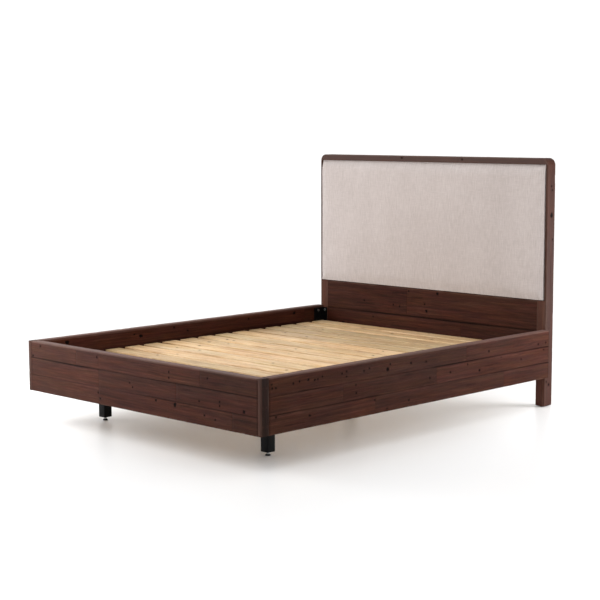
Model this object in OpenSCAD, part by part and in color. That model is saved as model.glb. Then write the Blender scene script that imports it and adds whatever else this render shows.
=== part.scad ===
// Queen-size bed frame: plank rails, a framed and padded headboard, a slatted deck and levelling feet.
// Millimetres, +Z up. The origin is on the floor, under the middle of the bed.
// The head is towards +Y and the foot towards -Y.

/* [Overall] */
// Width across the outer faces of the side rails
bed_w = 1680; // [1660:2:1720]
// Length from the footboard's face to the back of the headboard posts
bed_l = 2176; // [2160:2:2240]
// Height of the headboard above the floor
headboard_h = 1312; // [1280:2:1400]

/* [Side rails and footboard] */
// Height of the lowest plank's lower edge above the floor
rail_bottom = 161; // [158:1:170]
// Height of one plank; three stack up to a rail
plank_h = 84; // [82:1:90]
// Thickness of the side rails
side_t = 45; // [42:1:50]
// Thickness of the footboard
foot_t = 48; // [44:1:54]
// Thickness of the upright strip that caps each end of the footboard
cap_t = 20; // [16:1:26]

/* [Headboard] */
// Width across the headboard posts
headboard_w = 1630; // [1620:2:1650]
// Width of a post's front face
post_w = 56; // [52:1:64]
// Depth of a post, front to back
post_d = 70; // [66:1:80]
// Radius of the headboard's outer top corners
corner_r = 38; // [20:1:48]
// Radius of the eased long edges of posts and top rail
edge_r = 4; // [3:1:10]
// Height of the top rail
top_rail_h = 78; // [70:1:90]
// Wood that shows above the padded panel
reveal_top = 34; // [28:1:40]
// Wood that shows beside the padded panel
reveal_side = 12.5; // [10:0.5:20]
// Height of the padded panel's lower edge above the floor
panel_bottom = 565; // [550:1:600]
// Depth of the rebate that the panel sits in
rebate_d = 28; // [24:1:30]
// How far the panel's face stands in front of the posts
panel_proud = 6; // [2:1:10]
// Height of the lowest edge of the boards below the panel
skirt_bottom = 240; // [200:1:250]

/* [Deck] */
// Depth from the rails' top edge down to the slats
deck_drop = 90; // [80:1:110]
// Number of slats
slat_n = 16; // [11:1:17]
// Width of one slat
slat_w = 95; // [80:1:110]
// Thickness of a slat
slat_t = 20; // [18:1:22]
// Width and height of the cleats that carry the slats
cleat = 40; // [34:1:42]
// Width of the centre beam and of the cross rail
beam_w = 60; // [56:1:70]
// Height of the centre beam and of the cross rail
beam_h = 70; // [60:1:72]

/* [Legs and levelling feet] */
// Outer size of the square leg tube
leg_size = 48; // [40:1:54]
// Distance from a side rail's outer face to the middle of a foot leg
leg_inset = 250; // [200:1:300]
// Distance from the footboard's face to the middle of the foot legs
leg_back = 284; // [250:1:320]
// Distance from the footboard's face to the two centre legs
centre_leg_y = [820, 1480]; // [600:10:1800]
// Height of the leg tube's lower end above the floor
leg_lift = 18.5; // [17:0.5:22]
// Diameter of a levelling foot's pad
pad_d = 26; // [24:1:32]
// Diameter of a levelling foot's stem
stem_d = 10; // [8:1:12]

/* [Hidden] */
$fn = 48;
half_w = bed_w / 2;
foot_y = -bed_l / 2;
foot_in = foot_y + foot_t;
head_y = bed_l / 2 - post_d;
rail_in = half_w - side_t;
rail_top = rail_bottom + 3 * plank_h;

// headboard
post_out = headboard_w / 2;
post_in = post_out - post_w;
glide_h = 4;
panel_half = post_out - reveal_side;
panel_top = headboard_h - reveal_top;
rebate_y = head_y + rebate_d;
board_t = 12;
linen_t = 2;
top_rail_z = headboard_h - top_rail_h;
skirt_t = 45;
skirt_top = panel_bottom + 45;
skirt_seam = (skirt_bottom + panel_bottom) / 2;
stile_w = 60;
stile_t = 30;
stile_x = [-post_in + stile_w / 2, -post_in / 3, post_in / 3, post_in - stile_w / 2];
back_t = 9;
back_y = rebate_y + stile_t;
tenon = [60, 12, 50];
tenon_z = [skirt_bottom + 70, skirt_seam + 50];

// deck
deck_z = rail_top - deck_drop;
cleat_z = deck_z - slat_t;
slat_side_gap = 5;
slat_first = foot_in + 12 + slat_w / 2;
slat_last = head_y - 12 - slat_w / 2;
beam_z = cleat_z - beam_h;
cross_y = foot_y + leg_back;
cleat_in = rail_in - cleat;
cleat_stop = 85;

// steelwork
steel_t = 3;
corner_leg = 60;
corner_z = 170;
corner_h = 76;
corner_bolts = [25, 48];
post_bracket_y = 80;
post_bracket_z = 180;
post_bracket_h = 220;
post_bolt_z = [200, 285, 385];
post_bolt_x = (post_in + rail_in) / 2;
hanger_leg = 36;
hanger_screw_l = 28;
bolt_d = 8;
bolt_l = 30;
bolt_head = 13;
bolt_head_h = 5.5;

// legs
leg_x = half_w - leg_inset;
leg_wall = 2;
plate_t = 5;
plate_l = 100;
plate_hole_x = 38;
plate_hole_y = 19;
lip_t = 2;
plug_h = 18;
nut_h = 8;
nut_af = 17;
bore_d = stem_d + 0.1;
pad_h = 7;
pad_top_d = 18;
socket_z = 3;
socket_d = 6;
hex_z = pad_h + 0.2;
hex_h = 4;
hex_af = 14;
stem_top = 65;

// screws, nails and dowels
screw_d = 5;
screw_head_d = 10;
screw_head_h = 3;
cleat_screw_l = cleat + 15;
cleat_screw_z = cleat_z - 28;
slat_screw_l = slat_t + 25;
back_screw_l = back_t + 16;
panel_screw_l = stile_t + 9;
leg_screw_l = plate_t + 30;
dowel_d = 10;
dowel_l = 60;
dowel_end = 90;
nail_d = 3;
nail_l = 50;

// where the four levelling feet stand: x, y, and 1 where the plate runs along the bed
FEET = [[-leg_x, cross_y, 0], [leg_x, cross_y, 0],
        [0, foot_y + centre_leg_y[0], 1], [0, foot_y + centre_leg_y[1], 1]];

// ---- helpers ----

// A box between two corners
module box(low, high) {
  translate(low) cube(high - low);
}

// What follows, on both sides of the bed
module both_sides() {
  children();
  mirror([1, 0, 0]) children();
}

// A countersunk screw: its head's face is at the origin and it runs along +Z
module screw(length) {
  cylinder(h = screw_head_h, d1 = screw_head_d, d2 = screw_d);
  cylinder(h = length, d = screw_d);
}

// A hex-head bolt: the underside of its head is at the origin and it runs along +Z
module bolt(length) {
  cylinder(h = length, d = bolt_d);
  translate([0, 0, -bolt_head_h])
    cylinder(h = bolt_head_h, d = bolt_head / cos(30), $fn = 6);
}

// n places spread evenly from a to b
function spread(a, b, n) = [for (i = [0:n - 1]) a + (b - a) * i / (n - 1)];

// ---- fasteners, which the wood around them is bored for ----

module footboard_dowel_set() {
  for (x = spread(-half_w + cap_t + dowel_end, half_w - cap_t - dowel_end, 6), seam = [1, 2])
    translate([x, foot_y + foot_t / 2, rail_bottom + seam * plank_h - dowel_l / 2])
      cylinder(h = dowel_l, d = dowel_d);
}

module side_rail_dowel_set() {
  both_sides()
    for (y = spread(foot_in + dowel_end, head_y - dowel_end, 7), seam = [1, 2])
      translate([rail_in + side_t / 2, y, rail_bottom + seam * plank_h - dowel_l / 2])
        cylinder(h = dowel_l, d = dowel_d);
}

module end_cap_nail_set() {
  both_sides()
    for (row = [0:2], y = [foot_t * 0.25, foot_t * 0.75])
      translate([half_w, foot_y + y, rail_bottom + (row + 0.5) * plank_h])
        rotate([0, -90, 0]) cylinder(h = nail_l, d = nail_d);
}

module cleat_screw_set() {
  both_sides()
    for (y = spread(foot_in + 60, head_y - cleat_stop - 40, 8))
      translate([cleat_in, y, cleat_screw_z]) rotate([0, 90, 0]) screw(cleat_screw_l);
  for (x = spread(-cleat_in + 60, cleat_in - 60, 6)) {
    translate([x, foot_in + cleat, cleat_screw_z]) rotate([90, 0, 0]) screw(cleat_screw_l);
    translate([x, head_y - cleat, cleat_screw_z]) rotate([-90, 0, 0]) screw(cleat_screw_l);
  }
}

// Where a slat's outer screw goes: into the side cleat, or at the head into the head cleat
function outer_screw(y) =
  y < head_y - cleat_stop ? [cleat_in + cleat / 2, y] : [cleat_in - cleat, head_y - cleat / 2];

module slat_screw_set() {
  for (y = spread(slat_first, slat_last, slat_n)) {
    translate([0, y, deck_z]) rotate([180, 0, 0]) screw(slat_screw_l);
    both_sides()
      translate([outer_screw(y)[0], outer_screw(y)[1], deck_z]) rotate([180, 0, 0]) screw(slat_screw_l);
  }
}

module bracket_bolt_set() {
  both_sides() {
    // footboard corner: two bolts into the side rail and two into the footboard
    for (d = corner_bolts) {
      translate([rail_in - steel_t, foot_in + d, corner_z + corner_h / 2])
        rotate([0, 90, 0]) bolt(steel_t + bolt_l);
      translate([rail_in - d, foot_in + steel_t, corner_z + corner_h / 2])
        rotate([90, 0, 0]) bolt(steel_t + bolt_l);
    }
    // headboard corner: a row into the side rail and a row into the post
    for (z = post_bolt_z) {
      translate([rail_in - steel_t, head_y - post_bracket_y * 0.6, z])
        rotate([0, 90, 0]) bolt(steel_t + bolt_l);
      translate([post_bolt_x, head_y - steel_t, z])
        rotate([-90, 0, 0]) bolt(steel_t + bolt_l);
    }
  }
}

module headboard_tenon_set() {
  both_sides() {
    for (z = tenon_z)
      translate([post_in - tenon[0] / 2, head_y + 16, z]) cube(tenon);
    translate([post_in - tenon[0] / 2, head_y + 43, top_rail_z + 14]) cube(tenon);
  }
}

module back_panel_screw_set() {
  for (x = stile_x, z = spread(skirt_top + 30, top_rail_z - 30, 5))
    translate([x, back_y + back_t, z]) rotate([90, 0, 0]) screw(back_screw_l);
}

module panel_screw_set() {
  for (x = stile_x, z = spread(skirt_top + 60, top_rail_z - 60, 4))
    translate([x, back_y, z]) rotate([90, 0, 0]) screw(panel_screw_l);
}

module leg_screw_set() {
  for (f = FEET)
    translate([f[0], f[1], beam_z - plate_t]) rotate([0, 0, f[2] * 90])
      for (x = [-plate_hole_x, plate_hole_x], y = [-plate_hole_y, plate_hole_y])
        translate([x, y, 0]) screw(leg_screw_l);
}

// ---- footboard ----

module footboard_plank(row) {
  color("#4a2f29") difference() {
    box([-half_w + cap_t, foot_y, rail_bottom + row * plank_h],
        [half_w - cap_t, foot_in, rail_bottom + (row + 1) * plank_h]);
    footboard_dowel_set();
    end_cap_nail_set();
    cleat_screw_set();
    bracket_bolt_set();
  }
}

module footboard_end_cap() {
  color("#3b2623") difference() {
    box([half_w - cap_t, foot_y, rail_bottom], [half_w, foot_in, rail_top]);
    end_cap_nail_set();
  }
}

// ---- side rails ----

module side_plank(row) {
  color("#4f332b") difference() {
    box([rail_in, foot_in, rail_bottom + row * plank_h],
        [half_w, head_y, rail_bottom + (row + 1) * plank_h]);
    side_rail_dowel_set();
    cleat_screw_set();
    bracket_bolt_set();
  }
}

// ---- headboard ----

// A post in plan: square on its inner side, eased on its two outer edges
module post_plan() {
  square([post_w - edge_r, post_d]);
  translate([0, edge_r]) square([post_w, post_d - 2 * edge_r]);
  for (y = [edge_r, post_d - edge_r]) translate([post_w - edge_r, y]) circle(r = edge_r);
}

// A post from the front: its outer top corner is round
module post_front() {
  square([post_w, headboard_h - corner_r]);
  square([post_w - corner_r, headboard_h]);
  translate([post_w - corner_r, headboard_h - corner_r]) circle(r = corner_r, $fn = 96);
}

module post() {
  color("#54382f") difference() {
    translate([post_in, head_y, 0]) intersection() {
      translate([0, 0, glide_h]) linear_extrude(headboard_h - glide_h) post_plan();
      translate([0, post_d, 0]) rotate([90, 0, 0]) linear_extrude(post_d) post_front();
    }
    box([post_in - 1, head_y - 1, panel_bottom], [panel_half, rebate_y, panel_top]);
    headboard_tenon_set();
    bracket_bolt_set();
  }
}

// The top rail from its end: two eased top edges
module top_rail_end() {
  square([post_d, top_rail_h - edge_r]);
  translate([edge_r, 0]) square([post_d - 2 * edge_r, top_rail_h]);
  for (y = [edge_r, post_d - edge_r]) translate([y, top_rail_h - edge_r]) circle(r = edge_r);
}

module headboard_top_rail() {
  color("#523730") difference() {
    translate([-post_in, head_y, top_rail_z])
      rotate([90, 0, 90]) linear_extrude(2 * post_in) top_rail_end();
    box([-post_in - 1, head_y - 1, top_rail_z - 1], [post_in + 1, rebate_y, panel_top]);
    headboard_tenon_set();
  }
}

module headboard_skirt_upper() {
  color("#3d221b") difference() {
    box([-post_in, head_y, skirt_seam], [post_in, head_y + skirt_t, skirt_top]);
    box([-post_in - 1, head_y - 1, panel_bottom], [post_in + 1, rebate_y, skirt_top + 1]);
    headboard_tenon_set();
  }
}

module headboard_skirt_lower() {
  color("#3a1f19") difference() {
    box([-post_in, head_y, skirt_bottom], [post_in, head_y + skirt_t, skirt_seam]);
    headboard_tenon_set();
    cleat_screw_set();
  }
}

module headboard_stiles() {
  color("#a98c67") difference() {
    for (x = stile_x)
      box([x - stile_w / 2, rebate_y, skirt_top], [x + stile_w / 2, back_y, top_rail_z]);
    panel_screw_set();
    back_panel_screw_set();
  }
}

module headboard_back_panel() {
  color("#4b332b") difference() {
    box([-post_in, back_y, skirt_top], [post_in, back_y + back_t, top_rail_z]);
    back_panel_screw_set();
  }
}

module panel_board() {
  color("#b59a72") difference() {
    box([-panel_half + linen_t, rebate_y - board_t, panel_bottom + linen_t],
        [panel_half - linen_t, rebate_y, panel_top - linen_t]);
    panel_screw_set();
  }
}

module panel_foam() {
  color("#e6ddb8")
    box([-panel_half + linen_t, head_y - panel_proud + linen_t, panel_bottom + linen_t],
        [panel_half - linen_t, rebate_y - board_t, panel_top - linen_t]);
}

module panel_linen() {
  color("#cdc0ba") difference() {
    box([-panel_half, head_y - panel_proud, panel_bottom], [panel_half, rebate_y, panel_top]);
    box([-panel_half + linen_t, head_y - panel_proud + linen_t, panel_bottom + linen_t],
        [panel_half - linen_t, rebate_y + 1, panel_top - linen_t]);
  }
}

module post_glides() {
  color("#3a3836") both_sides()
    for (y = [post_d * 0.28, post_d * 0.72])
      translate([post_out - post_w / 2, head_y + y, 0]) {
        cylinder(h = 1, d1 = 20, d2 = 22);
        translate([0, 0, 1]) cylinder(h = glide_h - 1, d = 22);
      }
}

// ---- deck ----

module side_cleat() {
  color("#a98c67") difference() {
    box([cleat_in, foot_in, cleat_z - cleat], [rail_in, head_y - cleat_stop, cleat_z]);
    cleat_screw_set();
    slat_screw_set();
    hanger_screw_set();
  }
}

module foot_cleat() {
  color("#a98c67") difference() {
    box([-cleat_in, foot_in, cleat_z - cleat], [cleat_in, foot_in + cleat, cleat_z]);
    cleat_screw_set();
    slat_screw_set();
    hanger_screw_set();
  }
}

module head_cleat() {
  color("#a98c67") difference() {
    box([-cleat_in, head_y - cleat, cleat_z - cleat], [cleat_in, head_y, cleat_z]);
    cleat_screw_set();
    slat_screw_set();
    hanger_screw_set();
  }
}

module slats() {
  color("#b39873") difference() {
    for (y = spread(slat_first, slat_last, slat_n))
      box([-rail_in + slat_side_gap, y - slat_w / 2, cleat_z],
          [rail_in - slat_side_gap, y + slat_w / 2, deck_z]);
    slat_screw_set();
  }
}

// The centre beam laps over the cross rail, each cut away to half its height
module centre_beam() {
  color("#a98c67") difference() {
    box([-beam_w / 2, foot_in + cleat, beam_z], [beam_w / 2, head_y - cleat, cleat_z]);
    box([-beam_w, cross_y - beam_w / 2, beam_z - 1], [beam_w, cross_y + beam_w / 2, beam_z + beam_h / 2]);
    slat_screw_set();
    leg_screw_set();
    hanger_screw_set();
  }
}

module cross_rail() {
  color("#a98c67") difference() {
    box([-cleat_in, cross_y - beam_w / 2, beam_z], [cleat_in, cross_y + beam_w / 2, cleat_z]);
    box([-beam_w / 2, cross_y - beam_w, beam_z + beam_h / 2], [beam_w / 2, cross_y + beam_w, cleat_z + 1]);
    slat_screw_set();
    leg_screw_set();
    hanger_screw_set();
  }
}

// ---- steelwork ----

// An angle hanger standing in the corner between a cleat's face and a beam's side.
// Its corner is at the origin; one leg runs along +X and the other along +Y.
module hanger() {
  difference() {
    union() {
      cube([hanger_leg, steel_t, cleat]);
      cube([steel_t, hanger_leg, cleat]);
    }
    hanger_screws();
  }
}

// Its screws: two through each leg, driven outwards from inside the corner
module hanger_screws() {
  for (z = [cleat * 0.25, cleat * 0.75]) {
    translate([hanger_leg * 0.62, steel_t, z]) rotate([90, 0, 0]) screw(hanger_screw_l);
    translate([steel_t, hanger_leg * 0.62, z]) rotate([0, -90, 0]) screw(hanger_screw_l);
  }
}

// Each beam end has a hanger on either side
module at_hangers() {
  z = cleat_z - cleat;
  both_sides() {
    translate([cleat_in, cross_y + beam_w / 2, z]) rotate([0, 0, 90]) children();
    translate([beam_w / 2, foot_in + cleat, z]) children();
    translate([beam_w / 2, head_y - cleat, z]) mirror([0, 1, 0]) children();
  }
}

module hanger_screw_set() {
  at_hangers() hanger_screws();
}

module beam_hangers() {
  color("#8d9093") at_hangers() hanger();
}

// A flat steel angle: one leg along +X and one along +Y, from the corner at the origin
module angle(x_leg, y_leg, height) {
  cube([x_leg, steel_t, height]);
  cube([steel_t, y_leg, height]);
}

module corner_brackets() {
  color("#26282b") difference() {
    both_sides()
      translate([rail_in, foot_in, corner_z]) mirror([1, 0, 0]) angle(corner_leg, corner_leg, corner_h);
    bracket_bolt_set();
  }
}

module post_brackets() {
  color("#26282b") difference() {
    both_sides()
      translate([rail_in, head_y, post_bracket_z])
        mirror([1, 0, 0]) mirror([0, 1, 0])
          angle(rail_in - post_in - 3, post_bracket_y, post_bracket_h);
    bracket_bolt_set();
  }
}

// ---- legs ----

// A leg: square tube with a plate welded on top, standing over its foot's place
module leg(foot) {
  color("#15171b") difference() {
    translate([foot[0], foot[1], 0]) rotate([0, 0, foot[2] * 90]) {
      difference() {
        translate([-leg_size / 2, -leg_size / 2, leg_lift + lip_t])
          cube([leg_size, leg_size, beam_z - plate_t - leg_lift - lip_t]);
        translate([-leg_size / 2 + leg_wall, -leg_size / 2 + leg_wall, leg_lift])
          cube([leg_size - 2 * leg_wall, leg_size - 2 * leg_wall, beam_z - plate_t - leg_lift]);
      }
      translate([-plate_l / 2, -beam_w / 2, beam_z - plate_t]) cube([plate_l, beam_w, plate_t]);
    }
    leg_screw_set();
  }
}

// Plastic plugs in the tubes' lower ends, bored for the stems
module leg_plugs() {
  plug_w = leg_size - 2 * leg_wall;
  color("#1c1c1e") for (f = FEET)
    translate([f[0], f[1], leg_lift]) difference() {
      union() {
        translate([-leg_size / 2, -leg_size / 2, 0]) cube([leg_size, leg_size, lip_t]);
        translate([-plug_w / 2, -plug_w / 2, 0]) cube([plug_w, plug_w, lip_t + plug_h]);
      }
      translate([0, 0, -1]) cylinder(h = lip_t + plug_h + 2, d = bore_d);
    }
}

// A hex nut on each plug, which the stem screws through
module leg_nuts() {
  color("#9a9da0") for (f = FEET)
    translate([f[0], f[1], leg_lift + lip_t + plug_h]) difference() {
      cylinder(h = nut_h, d = nut_af / cos(30), $fn = 6);
      translate([0, 0, -1]) cylinder(h = nut_h + 2, d = bore_d);
    }
}

// A levelling foot's pad, with a blind socket that the stem turns in
module pad(foot) {
  rim_h = 4;
  color("#2b2a2a") translate([foot[0], foot[1], 0]) difference() {
    union() {
      cylinder(h = rim_h, d = pad_d);
      translate([0, 0, rim_h]) cylinder(h = pad_h - rim_h, d1 = pad_d, d2 = pad_top_d);
    }
    translate([0, 0, socket_z]) cylinder(h = pad_h, d = socket_d + 0.1);
  }
}

// A levelling foot's stem: spigot, hex for a spanner, and screw shank
module stem(foot) {
  color("#8e9093") translate([foot[0], foot[1], 0]) {
    translate([0, 0, socket_z]) cylinder(h = hex_z - socket_z, d = socket_d);
    translate([0, 0, hex_z]) cylinder(h = hex_h, d = hex_af / cos(30), $fn = 6);
    translate([0, 0, hex_z]) cylinder(h = stem_top - hex_z, d = stem_d);
  }
}

// ---- nodes ----

footboard_plank(2);  // footboard_plank_top
footboard_plank(1);  // footboard_plank_middle
footboard_plank(0);  // footboard_plank_bottom
mirror([1, 0, 0]) footboard_end_cap();  // footboard_end_cap_left
footboard_end_cap();  // footboard_end_cap_right
mirror([1, 0, 0]) side_plank(2);  // side_rail_left_top
mirror([1, 0, 0]) side_plank(1);  // side_rail_left_middle
mirror([1, 0, 0]) side_plank(0);  // side_rail_left_bottom
side_plank(2);  // side_rail_right_top
side_plank(1);  // side_rail_right_middle
side_plank(0);  // side_rail_right_bottom
color("#b59a72") footboard_dowel_set();  // footboard_dowels
color("#b59a72") side_rail_dowel_set();  // side_rail_dowels
color("#3a3836") end_cap_nail_set();  // end_cap_nails
mirror([1, 0, 0]) post();  // headboard_post_left
post();  // headboard_post_right
headboard_top_rail();
headboard_skirt_upper();
headboard_skirt_lower();
headboard_stiles();
headboard_back_panel();
color("#b59a72") headboard_tenon_set();  // headboard_tenons
color("#6f6a62") back_panel_screw_set();  // back_panel_screws
panel_board();
panel_foam();
panel_linen();
color("#9a9da0") panel_screw_set();  // panel_screws
post_glides();
mirror([1, 0, 0]) side_cleat();  // side_cleat_left
side_cleat();  // side_cleat_right
foot_cleat();
head_cleat();
color("#9a9da0") cleat_screw_set();  // cleat_screws
slats();
color("#9a9da0") slat_screw_set();  // slat_screws
centre_beam();
cross_rail();
beam_hangers();
color("#9a9da0") hanger_screw_set();  // hanger_screws
corner_brackets();
post_brackets();
color("#6f7276") bracket_bolt_set();  // bracket_bolts
leg(FEET[0]);  // foot_leg_left
leg(FEET[1]);  // foot_leg_right
leg(FEET[2]);  // centre_leg_front
leg(FEET[3]);  // centre_leg_rear
leg_plugs();
leg_nuts();
color("#9a9da0") leg_screw_set();  // leg_screws
pad(FEET[0]);  // pad_foot_left
pad(FEET[1]);  // pad_foot_right
pad(FEET[2]);  // pad_centre_front
pad(FEET[3]);  // pad_centre_rear
stem(FEET[0]);  // stem_foot_left
stem(FEET[1]);  // stem_foot_right
stem(FEET[2]);  // stem_centre_front
stem(FEET[3]);  // stem_centre_rear
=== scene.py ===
"""The looks of a wooden bed frame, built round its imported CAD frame. Metres, +Z up, head towards +Y."""

import math
from collections import namedtuple

import bmesh
import bpy
import numpy as np
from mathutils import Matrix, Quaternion, Vector


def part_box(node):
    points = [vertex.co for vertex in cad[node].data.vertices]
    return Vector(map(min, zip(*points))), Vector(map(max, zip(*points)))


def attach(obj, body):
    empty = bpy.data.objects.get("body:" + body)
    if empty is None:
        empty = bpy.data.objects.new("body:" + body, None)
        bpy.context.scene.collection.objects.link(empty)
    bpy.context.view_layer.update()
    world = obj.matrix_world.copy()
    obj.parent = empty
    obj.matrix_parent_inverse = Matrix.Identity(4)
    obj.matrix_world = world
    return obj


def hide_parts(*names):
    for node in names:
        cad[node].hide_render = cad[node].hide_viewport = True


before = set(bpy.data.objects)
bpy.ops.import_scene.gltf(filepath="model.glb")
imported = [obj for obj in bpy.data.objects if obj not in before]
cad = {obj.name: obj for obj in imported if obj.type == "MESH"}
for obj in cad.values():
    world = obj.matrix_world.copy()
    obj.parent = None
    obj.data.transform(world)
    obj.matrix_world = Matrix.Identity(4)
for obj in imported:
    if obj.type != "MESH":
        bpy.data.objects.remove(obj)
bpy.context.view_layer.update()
MM = 0.001


# ---- shared maths ----

def noise(points, lump, seed=0):
    """Smooth noise from -1 to 1 at (n, 3) points. lump is the size of its lumps, one number or three."""
    p = np.asarray(points, float) / lump + 31.7 * seed
    cell = np.floor(p).astype(np.int64)
    f = p - cell
    f = f * f * (3 - 2 * f)
    total = np.zeros(len(p))
    for corner in np.ndindex(2, 2, 2):
        c = (cell + corner) * (73856093, 19349663, 83492791)
        h = (c[:, 0] ^ c[:, 1] ^ c[:, 2]) & 0xFFFFF
        h = (h * 1103515245 + 12345) >> 8 & 0xFFFF
        total += np.prod(np.where(corner, f, 1 - f), axis=1) * (h / 32767.5 - 1)
    return total


def solids(node):
    """The (low, high, points) of each separate solid of a CAD node, in metres, from left to right."""
    bm = bmesh.new()
    bm.from_mesh(cad[node].data)
    bmesh.ops.remove_doubles(bm, verts=bm.verts, dist=1e-5)
    left, found = set(bm.verts), []
    while left:
        island, edge = set(), [left.pop()]
        while edge:
            vert = edge.pop()
            island.add(vert)
            for link in vert.link_edges:
                other = link.other_vert(vert)
                if other in left:
                    left.discard(other)
                    edge.append(other)
        points = np.array([v.co for v in island])
        found.append((points.min(0), points.max(0), points))
    bm.free()
    return sorted(found, key=lambda s: tuple(np.round(s[0], 4)))


def placer(low, high, along, up, into):
    """A function that puts (along, up, into) millimetres in the box, from a corner such as +x, +z, -y."""
    def place(points):
        out = np.zeros((len(points), 3))
        for column, name in enumerate((along, up, into)):
            axis = "xyz".index(name[1])
            step = points[:, column] * MM
            out[:, axis] = low[axis] + step if name[0] == "+" else high[axis] - step
        return out
    return place


def box_size(low, high, *directions):
    """The box's size in millimetres in each direction, such as +x."""
    return [(high["xyz".index(d[1])] - low["xyz".index(d[1])]) / MM for d in directions]


# ---- meshes ----

def add_object(name, data):
    """A new object in the scene."""
    obj = bpy.data.objects.new(name, data)
    bpy.context.scene.collection.objects.link(obj)
    return obj


def new_mesh(name, points, faces):
    """A smooth mesh with its faces turned outward."""
    mesh = bpy.data.meshes.new(name)
    mesh.from_pydata(points.tolist(), [], faces)
    bm = bmesh.new()
    bm.from_mesh(mesh)
    bmesh.ops.recalc_face_normals(bm, faces=bm.faces)
    bm.to_mesh(mesh)
    bm.free()
    mesh.shade_smooth()
    return mesh


def make_piece(node, name, parts, material, body="frame", crease=35):
    """One piece in place of a CAD node, made of (points, faces, looks) parts.

    looks holds a value or a vector per point for each name, and the first part's names are the ones used."""
    points, faces, start = [], [], 0
    for part in parts:
        points.append(part[0])
        faces += [[start + v for v in face] for face in part[1]]
        start += len(part[0])
    mesh = new_mesh(name, np.vstack(points), faces)
    for key in parts[0][2]:
        values = np.concatenate([part[2][key] for part in parts]).astype(np.float32)
        kind, field = ("FLOAT_VECTOR", "vector") if values.ndim == 2 else ("FLOAT", "value")
        mesh.attributes.new(key, kind, "POINT").data.foreach_set(field, values.ravel())
    mesh.set_sharp_from_angle(angle=math.radians(crease))
    mesh.materials.append(material)
    piece = add_object(name, mesh)
    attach(piece, body)
    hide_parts(node)


def band(a, b):
    """The faces between two closed rings of as many points, given by their numbers."""
    return [[a[k - 1], a[k], b[k], b[k - 1]] for k in [*range(1, len(a)), 0]]


FACE, TOP, BACK, UNDER = range(4)
STAVE_LIGHT = 0.2        # how much lighter a stave of tone 1 is
GROOVE, GROOVE_DARK = 0.4, 0.45     # how deep and how dark a butt joint between two staves is
SEAM_REACH = 60          # over how far a seam between two boards closes
STAIN_AND_SHADE_REACH = 4.0              # how far in from an end its stain and painted shade are down to half


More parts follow.
